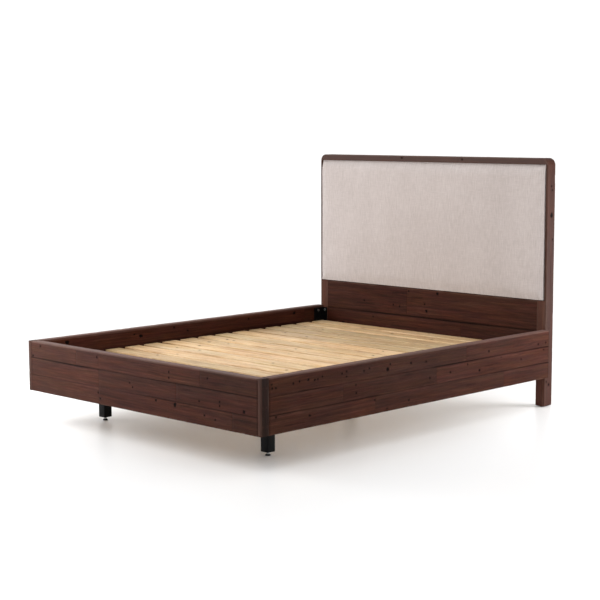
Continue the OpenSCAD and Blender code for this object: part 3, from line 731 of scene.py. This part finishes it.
def make_post(side, outward, seed):
    """A post: rebated beside the panel, eased on its outer arrises and round at its outer top corner."""
    node = f"headboard_post_{side}"
    low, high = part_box(node)
    bottom, top = low.z / MM, high.z / MM
    notch = POST_W - (high.x - panel_high.x if side == "right" else panel_low.x - low.x) / MM
    straight = top - CORNER_R - bottom
    section = [(notch, 0, 1.2, 5), (POST_W, 0, EASE, 7), (POST_W, POST_D, EASE, 8), (0, POST_D, 1.5, 14),
               (0, REBATE, 0, 7), (notch, REBATE, 0, 5)]
    zone = [panel_low.z / MM - bottom, panel_high.z / MM - bottom]
    # Painted shade on the front, the outer side and the rebate's wall, with a touch of painted sheen
    post = Board(straight + CORNER_R * math.pi / 2, section, 7, tones=(0.2,), end_r=2, seed=seed, worn=0.45,
                 extra=[z + off for z in zone for off in (-0.15, 0.15)],
                 shades={FRONT: 0.85, OUTER: 0.95, WALL: 0.6}, faded={FRONT: 0.04, OUTER: 0.02})
    # Below and above the panel the rebate is filled: its step and wall move out to the inner and front faces
    inside = (post.U > zone[0]) & (post.U < zone[1])
    filled = np.zeros(len(post.V))
    for side, near, far in ((STEP, 0, -1), (WALL, -1, 0)):
        first, ts = post.sides[side][:2]
        filled[(first + np.arange(len(ts))) % len(filled)] = (ts - ts[near]) / (ts[far] - ts[near])
    grid = post.P.reshape(len(post.U), -1, 3)
    grid[~inside, :, 1] -= notch * filled
    grid[~inside, :, 2] -= REBATE * filled
    post.P = grid.reshape(-1, 3)
    # Below the panel the front gets painted light, above it painted shade and a painted sheen, as on the top
    # rail
    columns = [(first + k) % len(post.V) for first, ts, *_ in (post.sides[WALL], post.sides[FRONT])
               for k in range(len(ts))]
    for rows, light, pale in ((post.U < zone[0], 1.5, 0.04), (post.U > zone[1], 0.85, 0.12)):
        post.shade.reshape(len(post.U), -1)[np.ix_(rows, columns)] = light
        post.fade.reshape(len(post.U), -1)[np.ix_(rows, columns)] = pale
    draw = np.random.default_rng(seed)
    scatter(draw, post.knot, (OUTER, REAR, OUTER, REAR, INNER), (100, straight - 60), (24, 46), (6, 10))
    scatter(draw, post.nail, (int(draw.integers(OUTER, INNER)) for _ in range(7)), (30, straight), (15, 55))
    post.crack(OUTER, 620, 800, 40)
    post.crack(OUTER, 40, 150, 25)
    post.crack(REAR, 300, 520, 30)

    def shape(points):
        """Rounds the outer top corner: what lies past the straight part turns inward over it."""
        u, v, w = points.T.copy()
        bend = u > straight
        turn = np.clip((u - straight) / CORNER_R, 0, math.pi / 2)
        width = POST_W - CORNER_R + CORNER_R * np.cos(turn)
        v = np.where(bend, v * width / POST_W, v)
        u = np.where(bend, straight + CORNER_R * np.sin(turn), u)
        run = np.hypot(np.maximum(v - (POST_W - CORNER_R), 0), u - straight)
        inset = CORNER_R - run
        w = np.where(bend & (w < EASE + 0.5), np.maximum(w, eased(inset)), w)
        w = np.where(bend & (w > POST_D - EASE - 0.5), np.minimum(w, POST_D - eased(inset)), w)
        return np.stack([u, v, w], 1)

    make_wooden(node, post, ("+z", outward, "+y"), RECLAIMED, shape)


make_post("left", "-x", 51)
make_post("right", "+x", 53)


def cross_board(node, section, seed, tones, joints=(), into="+y", features=(), **more):
    """A board along +x with its face to the front, or to the rear if into is -y.

    Each of the features is a side, a range of heights on it and its counts of knots, nails and cracks."""
    length, = box_size(*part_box(node), "+x")
    board = Board(length, section, 7, joints, tones, seed=seed, end_r=1.2, **more)
    draw = np.random.default_rng(seed)
    for side, bottom, top, knots, nails, cracks in features:
        scatter(draw, board.knot, [side] * knots, (60, length - 60), (bottom, top), (6, 12))
        scatter(draw, board.nail, [side] * nails, (30, length - 30), (bottom, top))
        for _ in range(cracks):
            start = draw.uniform(60, length - 300)
            board.crack(side, start, start + draw.uniform(80, 220), draw.uniform(bottom, top))
    make_wooden(node, board, ("+x", "+z", into), RECLAIMED)


rail_low, rail_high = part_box("headboard_top_rail")
rail_h = (rail_high.z - rail_low.z) / MM
rail_notch = (panel_high.z - rail_low.z) / MM
# Painted shade and a painted sheen on the front face, a painted highlight and sheen on the top
cross_board("headboard_top_rail",
            [(0, REBATE, 0, 12), (rail_notch, REBATE, 0, 12), (rail_notch, 0, 1.2, 5), (rail_h, 0, EASE, 7),
             (rail_h, POST_D, EASE, 8), (0, POST_D, 1.5, 12)],
            61, (-0.4, -0.6), (980,), worn=0.45, shades={2: 0.85, 3: 1.3}, faded={2: 0.12, 3: 0.2},
            features=[(2, 10, 24, 0, 2, 1), (3, 15, 55, 1, 2, 2), (4, 15, 60, 3, 5, 2)])
low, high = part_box("headboard_skirt_upper")
skirt_h, skirt_t = box_size(low, high, "+z", "+y")
ledge = (panel_low.z - low.z) / MM
cross_board("headboard_skirt_upper",
            [(0, 0, 1.5, 8), (ledge, 0, 1.5, 12), (ledge, REBATE, 0, 12), (skirt_h, REBATE, 1, 8),
             (skirt_h, skirt_t, 1.5, 9), (0, skirt_t, 1.5, 12)],
            63, (-0.4, 0.3), (620,), seams={5: []}, features=[(0, 15, 145, 2, 5, 4), (4, 15, 190, 5, 6, 4)])
skirt_h, skirt_t = box_size(*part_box("headboard_skirt_lower"), "+z", "+y")
cross_board("headboard_skirt_lower", rectangle(skirt_h, skirt_t, (1.5, 1.5, 1.5, 2), (8, 12, 9, 12)),
            65, (-0.1, -0.6), (1010,), seams={TOP: []},
            features=[(FACE, 15, 145, 1, 4, 3), (BACK, 15, 145, 4, 6, 3)])
back_h, back_t = box_size(*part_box("headboard_back_panel"), "+z", "+y")
cross_board("headboard_back_panel", rectangle(back_h, back_t, (1, 1, 0.8, 0.8), (9, 9, 30, 9)), 67, (0.2,),
            into="-y", features=[(FACE, 30, 590, 9, 0, 3)], relief=0.12, worn=0.5)


# ---- padded panel ----

def grid_lines(low, high, step, radius):
    """Places from low to high about step apart, closer together where the edges round over."""
    near = radius * np.array([0, 0.3, 0.65, 1])
    inner_low, inner_high = low + 1.8 * radius, high - 1.8 * radius
    inner = np.linspace(inner_low, inner_high, max(1, round((inner_high - inner_low) / step)) + 1)
    return np.concatenate([low + near, inner, high - near[::-1]])


def rounded_box(low, high, step, radius):
    """The surface of a box as a grid about step long, with edges and corners rounded."""
    lines = [grid_lines(low[k], high[k], step, radius) for k in range(3)]
    index, points, faces = {}, [], []
    for axis, end in ((axis, end) for axis in range(3) for end in (0, len(lines[axis]) - 1)):
        a, b = (axis + 1) % 3, (axis + 2) % 3
        for i, j in np.ndindex(len(lines[a]) - 1, len(lines[b]) - 1):
            face = []
            for di, dj in ((0, 0), (1, 0), (1, 1), (0, 1)):
                key = [end] * 3
                key[a], key[b] = i + di, j + dj
                if tuple(key) not in index:
                    index[tuple(key)] = len(points)
                    points.append([lines[k][key[k]] for k in range(3)])
                face.append(index[tuple(key)])
            faces.append(face)
    p = np.array(points)
    core = np.clip(p, np.array(low) + radius, np.array(high) - radius)
    out = p - core
    length = np.linalg.norm(out, axis=1, keepdims=True)
    return core + out / np.maximum(length, 1e-9) * radius, faces


# How far the linen lies inside the CAD panel's box: at its left, front and bottom, and right, back and top
PAD_INSET = np.array([[0.4, 1.5, 2.2], [5.5, 0.5, 0.4]]) * MM
PAD_STEP = 12 * MM       # the cloth's grid
PAD_EDGE = 3.5 * MM      # how softly the linen's edges roll over
PAD_RISE = 6 * MM        # how far its face may swell
PAD_ROLL, PAD_ROLL_H = 12 * MM, 60 * MM     # how far its top edge rolls back, and over what height
TUCK, TUG = 50 * MM, 0.7 * MM     # how far in from its edges the linen is pulled uneven, and by how much
HOLLOW = 0.6 * MM        # how uneven the middle of its face is


def swell(obj, held, frames=14, pressure=3.0):
    """Swells an object as cloth under pressure, but for its held points. Gives the rest points and moves."""
    rest = np.array([v.co for v in obj.data.vertices])
    group = obj.vertex_groups.new(name="held")
    group.add([int(k) for k in np.flatnonzero(held)], 1.0, "REPLACE")
    cloth = obj.modifiers.new("cloth", "CLOTH")
    for key, value in (("quality", 4), ("mass", 0.4), ("tension_stiffness", 22),
                       ("compression_stiffness", 22), ("bending_stiffness", 2.0), ("use_pressure", True),
                       ("uniform_pressure_force", pressure), ("vertex_group_mass", "held")):
        setattr(cloth.settings, key, value)
    cloth.settings.effector_weights.gravity = 0
    cloth.collision_settings.use_collision = False
    scene = bpy.context.scene
    for number in range(1, frames + 1):
        scene.frame_set(number)
    graph = bpy.context.evaluated_depsgraph_get()
    moved = np.array([v.co for v in obj.evaluated_get(graph).data.vertices])
    obj.modifiers.remove(cloth)
    obj.vertex_groups.clear()
    scene.frame_set(1)
    return rest, moved - rest


def make_panel():
    """The padded panel: a cloth-simulated box with its edges rolled over, for both the linen and the foam."""
    low, high = np.array(panel_low) + PAD_INSET[0], np.array(panel_high) - PAD_INSET[1]
    points, faces = rounded_box(low, high, PAD_STEP, PAD_EDGE)
    mesh = new_mesh("headboard_panel", points, faces)
    panel = add_object("headboard_panel", mesh)
    middle, span = (low + high) / 2, (high - low) / 2
    off = np.abs(points - middle) / span
    crown = (1 - off[:, 0] ** 8) * (1 - off[:, 2] ** 6)
    front = np.clip((middle[1] - points[:, 1]) / span[1], 0, 1)
    shift = -crown * front * 0.5 * PAD_RISE
    points, moved = swell(panel, points[:, 1] > low[1] + PAD_EDGE)
    shift = PAD_RISE * np.tanh(moved[:, 1] / PAD_RISE)
    hollow = noise(points, (0.22, 0.2, 0.16), 5) * HOLLOW * front * crown
    points[:, 1] += shift + hollow
    tug = np.exp(-((1 - off[:, 0]) * span[0] / TUCK)) * noise(points, (0.05, 0.2, 0.022), 7)
    tug += np.exp(-((1 - off[:, 2]) * span[2] / TUCK)) * noise(points, (0.022, 0.2, 0.05), 8)
    points[:, 1] += tug * TUG * front
    points[:, 1] += PAD_ROLL * front * np.clip(1 - (high[2] - points[:, 2]) / PAD_ROLL_H, 0, 1) ** 2
    mesh.vertices.foreach_set("co", points.astype(np.float32).ravel())
    smooth = panel.modifiers.new("smooth", "SUBSURF")
    smooth.levels = smooth.render_levels = 1
    mesh.materials.append(LINEN)
    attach(panel, "frame")
    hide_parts("panel_linen", "panel_foam")


make_panel()


# ---- deck ----

SCREW_HEAD = 5.0
SCREW_NEAR = 20 * MM     # how far from a cleat's box the middle of its screws may lie
SCREW_HOLE = [(SCREW_HEAD + 0.7, 0, 0), (SCREW_HEAD + 0.2, 0.2, 0.2), (2.6, 3, 0.5)]


def screw_places(node, axis):
    """The middle of each of a CAD node's screws that run along an axis."""
    return [(s[0] + s[1]) / 2 for s in solids(node) if np.argmax(s[1] - s[0]) == axis]


def make_slats():
    """The planed pine slats, as one piece, each with its own tone, screw holes and knots."""
    parts = []
    places = screw_places("slat_screws", 2)
    for number, (low, high, _) in enumerate(sorted(solids("slats"), key=lambda s: s[0][1])):
        low, high = Vector(low), Vector(high)
        length, width, thick = box_size(low, high, "+x", "+y", "-z")
        draw = np.random.default_rng(100 + number)
        slat = Board(length, rectangle(width, thick, (2.5,) * 4, (8, 10, 16, 10)), 14, seed=70 + number,
                     tones=(draw.uniform(-1, 1),), end_r=2, relief=0.15, worn=0.35)
        for x, y, _ in places:
            if low.y < y < high.y:
                slat.patch(FACE, (x - low.x) / MM, (y - low.y) / MM, SCREW_HOLE, rough=0.02)
        knots = int(draw.integers(1, 4))
        scatter(draw, slat.knot, [FACE] * knots, (80, length - 80), (22, width - 22), (5, 9))
        parts.append(slat.part(placer(low, high, "+x", "+y", "-z")))
    make_piece("slats", "pine_slats", parts, PINE)


def make_cleat(node, along, into, seed):
    """A planed pine cleat with eased edges, its screw holes and a few knots."""
    low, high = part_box(node)
    length, width, thick = box_size(low, high, along, "+z", into)
    cleat = Board(length, rectangle(width, thick, (2.5,) * 4, (8, 8, 10, 10)), 16, seed=seed, relief=0.15,
                  worn=0.4, tones=(0.3 * math.sin(seed),))
    run, across = "xyz".index(along[1]), "xyz".index(into[1])
    for place in screw_places("cleat_screws", across):
        if low[across] - SCREW_NEAR < place[across] < high[across] + SCREW_NEAR:
            cleat.patch(FACE, (place[run] - low[run]) / MM, (place[2] - low.z) / MM, SCREW_HOLE, rough=0.02)
    scatter(np.random.default_rng(seed), cleat.knot, (FACE, TOP, BACK), (60, length - 60), (14, 26), (4, 7))
    make_wooden(node, cleat, (along, "+z", into), PINE)


make_slats()
make_cleat("side_cleat_left", "+y", "-x", 81)
make_cleat("side_cleat_right", "+y", "+x", 82)
make_cleat("foot_cleat", "+x", "-y", 83)
make_cleat("head_cleat", "+x", "+y", 84)


# ---- fasteners ----

def turned_part(seat, out, rows):
    """A closed part round the direction out from its seat, from rows of (radius, height) in millimetres."""
    turn = Vector((0, 0, 1)).rotation_difference(Vector(out))
    points = []
    for row in rows:
        for k, (radius, height) in enumerate(row):
            a = k * 2 * math.pi / len(row)
            point = Vector((radius * math.cos(a) * MM, radius * math.sin(a) * MM, height * MM))
            points.append(turn @ point + Vector(seat))
    return loft(points, len(rows[0]))


def screw_rows(length):
    """Rows of a countersunk screw, whose cross recess is sunk by arm on its arms and by near beside them."""
    rows = []
    for radius, height, arm, near in ((2.1, -length, 0, 0), (2.4, -length + 4, 0, 0), (2.4, -3.2, 0, 0),
                                      (4.8, -0.3, 0, 0), (4.9, 0, 0, 0), (3.0, 0.05, 0, 0), (2.7, 0.05, 1, 0),
                                      (1.1, 0, 1.5, 0.5), (0.5, 0, 1.9, 1.9)):
        rows.append([(radius, height - sink) for sink in (arm, near, 0, near) * 4])
    return rows


BOLT_HALF, BOLT_HEAD = 6.5, 5.5      # half the head from flat to flat, and its height


def bolt_rows(length):
    """Rows of a hex-head bolt, from under its head, with a washer face and rounded corners on top."""
    corners = [hexagon(BOLT_HALF, k * math.pi / 18) for k in range(36)]
    round_row = lambda radius, height: [(radius, height)] * len(corners)
    rim = BOLT_HALF * 0.93
    return [round_row(3.4, -length), round_row(4.0, -length + 1.2), round_row(4.0, 0),
            round_row(BOLT_HALF, 0), [(r, 0.4) for r in corners],
            [(r, BOLT_HEAD - (r - rim) * 0.6) for r in corners],
            round_row(rim, BOLT_HEAD), round_row(BOLT_HALF * 0.6, BOLT_HEAD - 0.1),
            round_row(BOLT_HALF * 0.55, BOLT_HEAD - 0.5)]


def make_fasteners(node, material, rows_of, head_h=0.0):
    """Every fastener of a CAD node again, headed at its wider end, and seated head_h under its top."""
    parts = []
    for low, high, points in solids(node):
        axis = int(np.argmax(high - low))
        near, far = (np.ptp(points[np.abs(points[:, axis] - end[axis]) < 1e-4][:, (axis + 1) % 3])
                     for end in (low, high))
        sign = 1 if far > near else -1
        seat, out = (low + high) / 2, np.zeros(3)
        seat[axis] = (high if far > near else low)[axis] - sign * head_h * MM
        out[axis] = sign
        parts.append(turned_part(seat, out, rows_of((high[axis] - low[axis]) / MM - head_h)))
    make_piece(node, node + "_steel", parts, material, crease=30)


for node in ("slat_screws", "cleat_screws", "back_panel_screws", "hanger_screws", "leg_screws"):
    make_fasteners(node, SCREW_STEEL, screw_rows)
make_fasteners("bracket_bolts", ZINC, bolt_rows, BOLT_HEAD)


# ---- legs and feet ----

FEET = ("foot_left", "foot_right", "centre_front", "centre_rear")
LEG_OF = {foot: foot.replace("_", "_leg_") for foot in FEET}
TUBE_HALF, TUBE_WALL, TUBE_R, PLATE_T, LIP_T = 24 * MM, 2 * MM, 4 * MM, 5 * MM, 2 * MM
CORNER_POINTS = 6        # of a tube's or plug's rings


def centre_of(low, high):
    """The middle of a box, seen from above."""
    return (low[0] + high[0]) / 2, (low[1] + high[1]) / 2


def tube_part(centre, bottom, top):
    """A square tube with round corners and a rounded lower rim."""
    inner = TUBE_HALF - TUBE_WALL, TUBE_R - TUBE_WALL
    rings = []
    for half, radius, z in ((TUBE_HALF - 0.5 * MM, TUBE_R, bottom), (TUBE_HALF, TUBE_R, bottom + 0.5 * MM),
                            (TUBE_HALF, TUBE_R, (bottom + top) / 2), (TUBE_HALF, TUBE_R, top),
                            (*inner, top), (*inner, bottom)):
        rings += square_ring(half, radius, z, centre, CORNER_POINTS)
    return loft(rings, 4 * CORNER_POINTS, loop=True)


def weld_part(centre, z, bead=2.4 * MM, count=120):
    """A rippled weld bead round the tube, under its plate."""
    path = np.array(square_ring(TUBE_HALF + 0.4 * MM, TUBE_R, z, centre, per_corner=30))
    out = path - np.array([*centre, z])
    out /= np.linalg.norm(out, axis=1, keepdims=True)
    step = np.linalg.norm(np.diff(path, axis=0, append=path[:1]), axis=1)
    far = np.cumsum(step)
    even = np.linspace(0, far[-1], count, endpoint=False)
    path = np.stack([np.interp(even, far, path[:, k], period=far[-1]) for k in range(3)], 1)
    out = np.stack([np.interp(even, far, out[:, k], period=far[-1]) for k in range(3)], 1)
    rings = []
    for k in range(count):
        r = bead * (1 + 0.12 * math.sin(k * 2 * math.pi / 3.1))
        for a in np.linspace(0, 2 * math.pi, 8, endpoint=False):
            rings.append(path[k] + out[k] * math.cos(a) * r + np.array([0, 0, math.sin(a) * r]))
    return loft(rings, 8, loop=True)


def make_leg(node):
    """A leg: a tube welded under a plate, with holes in the plate for its screws."""
    low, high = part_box(node)
    centre = centre_of(low, high)
    along, up = ("+x", "+y") if high.x - low.x > high.y - low.y else ("+y", "+x")
    plate_low = Vector((low.x, low.y, high.z - PLATE_T))
    length, width, thick = box_size(plate_low, high, along, up, "+z")
    plate = Board(length, rectangle(width, thick, (1.2, 1.2, 0.6, 0.6), (4, 3, 30, 3)), 5, seed=91,
                  relief=0.0, worn=0.0, end_r=1.0)
    for place in screw_places("leg_screws", 2):
        if low.x < place[0] < high.x and low.y < place[1] < high.y:
            offset = [(place[k] - low[k]) / MM for k in (0, 1)]
            u, t = offset if along == "+x" else offset[::-1]
            plate.patch(FACE, u, t, [(5.4, 0, 0), (5.1, 0.1, 0), (2.6, 3, 0)], rough=0.0)
    parts = [tube_part(centre, low.z, high.z - PLATE_T), weld_part(centre, high.z - PLATE_T - 0.6 * MM),
             plate.part(placer(plate_low, high, along, up, "+z"))]
    make_piece(node, node + "_steel", parts, BLACK_STEEL, crease=40)


def plug_part(centre, z):
    """A plug: a lip the size of the tube, a body inside it and a bore for the stem."""
    lip, inner = TUBE_HALF - 0.2 * MM, TUBE_HALF - TUBE_WALL - 0.1 * MM
    squares = [(TUBE_HALF - 0.9 * MM, TUBE_R, z), (lip, TUBE_R, z + 0.7 * MM), (lip, TUBE_R, z + LIP_T),
               (inner, TUBE_R - TUBE_WALL, z + LIP_T), (inner, TUBE_R - TUBE_WALL, z + 20 * MM)]
    rings = [p for square in squares for p in square_ring(*square, centre, CORNER_POINTS)]
    angles = [math.atan2(y - centre[1], x - centre[0])
              for x, y, _ in square_ring(1, 0.2, 0, centre, CORNER_POINTS)]
    for radius, height in ((6.4, 20), (5.2, 19), (5.2, 1), (6.4, 0), (8.5, 0)):
        rings += [(centre[0] + radius * MM * math.cos(a), centre[1] + radius * MM * math.sin(a),
                   z + height * MM) for a in angles]
    return loft(rings, 4 * CORNER_POINTS, loop=True)


PAD_PROFILE = ((10.5, 0.0), (12.2, 0.25), (12.9, 1.1), (13.0, 2.2), (12.9, 3.2), (12.4, 4.1), (11.2, 4.9),
               (9.6, 6.2), (8.8, 6.85), (7.8, 7.0), (5.2, 7.0), (4.2, 6.6), (3.2, 6.5), (3.2, 3.0))
THREAD_PITCH, THREAD_DEPTH, THREAD_TOP = 1.5, 0.85, 40.0
HEX_HALF, HEX_LOW, HEX_HIGH = 7.0, 7.2, 11.2     # half the nut on the stem from flat to flat, and its ends


def pad_ribs(turn, radius, height):
    """Grip ribs round a pad's rim."""
    return -0.25 * MM * (np.cos(turn * 24) > 0.2) * (1 < height < 3.5)


def nut_corners(turn, radius, height):
    """The corners of the nut on the stem, cut back at its two ends."""
    return (hexagon(HEX_HALF * MM, turn) - HEX_HALF * MM) * (0.35 if radius < HEX_HALF else 1.0)


def thread_grooves(turn, radius, height):
    """A right-hand thread's grooves."""
    phase = (height / THREAD_PITCH - turn / (2 * math.pi)) % 1
    return -THREAD_DEPTH * MM * np.abs(2 * phase - 1) ** 1.3


def stem_parts(centre, low, high):
    """A levelling foot's stem: spigot, nut and thread, from the CAD stem's ends in millimetres."""
    nut = [(6.6, HEX_LOW), (HEX_HALF, HEX_LOW + 0.4), (HEX_HALF, HEX_HIGH - 0.4), (6.6, HEX_HIGH)]
    turns = [(5.0, z) for z in np.arange(HEX_HIGH - 0.2, THREAD_TOP, THREAD_PITCH / 6)]
    return [lathe([(3.0, low + 0.1), (3.0, HEX_LOW)], 24, centre), lathe(nut, 36, centre, nut_corners),
            lathe(turns, 36, centre, thread_grooves),
            lathe([(4.9, THREAD_TOP - 0.5), (4.9, high - 0.8), (4.2, high)], 24, centre)]


for foot in FEET:
    make_leg(LEG_OF[foot])
plug_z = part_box("leg_plugs")[0].z
plugs = [plug_part(centre_of(*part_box(LEG_OF[foot])), plug_z) for foot in FEET]
make_piece("leg_plugs", "leg_plugs_moulded", plugs, PLASTIC)
for foot in FEET:
    pad, stem = f"pad_{foot}", f"stem_{foot}"
    centre = centre_of(*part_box(pad))
    parts = [lathe(PAD_PROFILE, 96, centre, pad_ribs)]
    make_piece(pad, pad + "_moulded", parts, PLASTIC, pad)
    low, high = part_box(stem)
    parts = stem_parts(centre, low.z / MM, high.z / MM)
    make_piece(stem, stem + "_threaded", parts, ZINC, stem, crease=50)
glide_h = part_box("post_glides")[1].z / MM
glides = [lathe([(9.5, 0), (10.6, 0.35), (11, 1.2), (11, glide_h)], 32, centre_of(low, high))
          for low, high, _ in solids("post_glides")]
make_piece("post_glides", "post_glides_moulded", glides, PLASTIC)


# ---- CAD nodes that stay ----

KEPT = {
    BEECH: ("footboard_dowels", "side_rail_dowels"), PLY: ("panel_board",), NAIL_STEEL: ("end_cap_nails",),
    SCREW_STEEL: ("panel_screws",), ZINC: ("beam_hangers", "leg_nuts"),
    BLACK_STEEL: ("corner_brackets", "post_brackets"), PINE_CAD["x"]: ("cross_rail", "headboard_tenons"),
    PINE_CAD["y"]: ("centre_beam",), PINE_CAD["z"]: ("headboard_stiles",),
}
for material, names in KEPT.items():
    for name in names:
        cad[name].data.materials.clear()
        cad[name].data.materials.append(material)


# ---- floor, light and camera ----

def make_floor(far=60):
    """A pale floor that reaches far past the picture."""
    mesh = bpy.data.meshes.new("floor")
    mesh.from_pydata([(-far, -far, 0), (far, -far, 0), (far, far, 0), (-far, far, 0)], [], [(0, 1, 2, 3)])
    s = Shader("pale_floor", {"Specular IOR Level": 0.35})
    haze = s.noise(s.place(), (0.6, 0.6, 0.6), 2)
    mesh.materials.append(s.done(s.ramp(haze, (0.3, 0.86), (0.7, 0.88)), 0.32, haze, 0.0001))
    add_object("floor", mesh)


def add_light(kind, name, energy, place, target, size=None, angle=None):
    """A sun of an angle, or a rectangular area light of a size, aimed at a target."""
    light = bpy.data.lights.new(name, kind)
    light.energy = energy
    if kind == "AREA":
        light.shape = "RECTANGLE"
        light.size, light.size_y = size
    else:
        light.angle = angle
    obj = add_object(name, light)
    obj.location = place
    obj.rotation_mode = "QUATERNION"
    obj.rotation_quaternion = (Vector(target) - Vector(place)).to_track_quat("-Z", "Y")


def make_world(strength):
    """An even white studio all round."""
    world = bpy.data.worlds.new("studio")
    bpy.context.scene.world = world
    world.use_nodes = True
    shown = world.node_tree.nodes["Background"]
    shown.inputs["Color"].default_value = (1, 1, 1, 1)
    shown.inputs["Strength"].default_value = strength


CAMERA_AT = (5.366, -5.4646, 1.4933)
YAW, PITCH, ROLL = math.radians(44.439), math.radians(6.707), math.radians(-0.125)
LENS = 90.01


def make_camera():
    """The photo's camera."""
    data = bpy.data.cameras.new("camera")
    data.lens, data.sensor_width = LENS, 36
    data.clip_start, data.clip_end = 0.05, 200
    camera = add_object("camera", data)
    camera.location = CAMERA_AT
    forward = Vector((-math.sin(YAW) * math.cos(PITCH), math.cos(YAW) * math.cos(PITCH), -math.sin(PITCH)))
    camera.rotation_mode = "QUATERNION"
    camera.rotation_quaternion = forward.to_track_quat("-Z", "Y") @ Quaternion((0, 0, 1), ROLL)
    bpy.context.scene.camera = camera


make_floor()
make_world(1.13)
add_light("SUN", "ceiling", 0.4, (0, 0.4, 6), (0, 0, 0), angle=math.radians(60))
add_light("AREA", "left_window", 44, (-1.95, -1.85, 0.95), (-0.85, -1.0, 0.35), (1.1, 1.1))
add_light("AREA", "right_window", 35, (1.9, 2.05, 0.65), (0.85, 0.95, 0.2), (0.9, 0.9))
make_camera()
bpy.context.scene.view_settings.view_transform = "Standard"
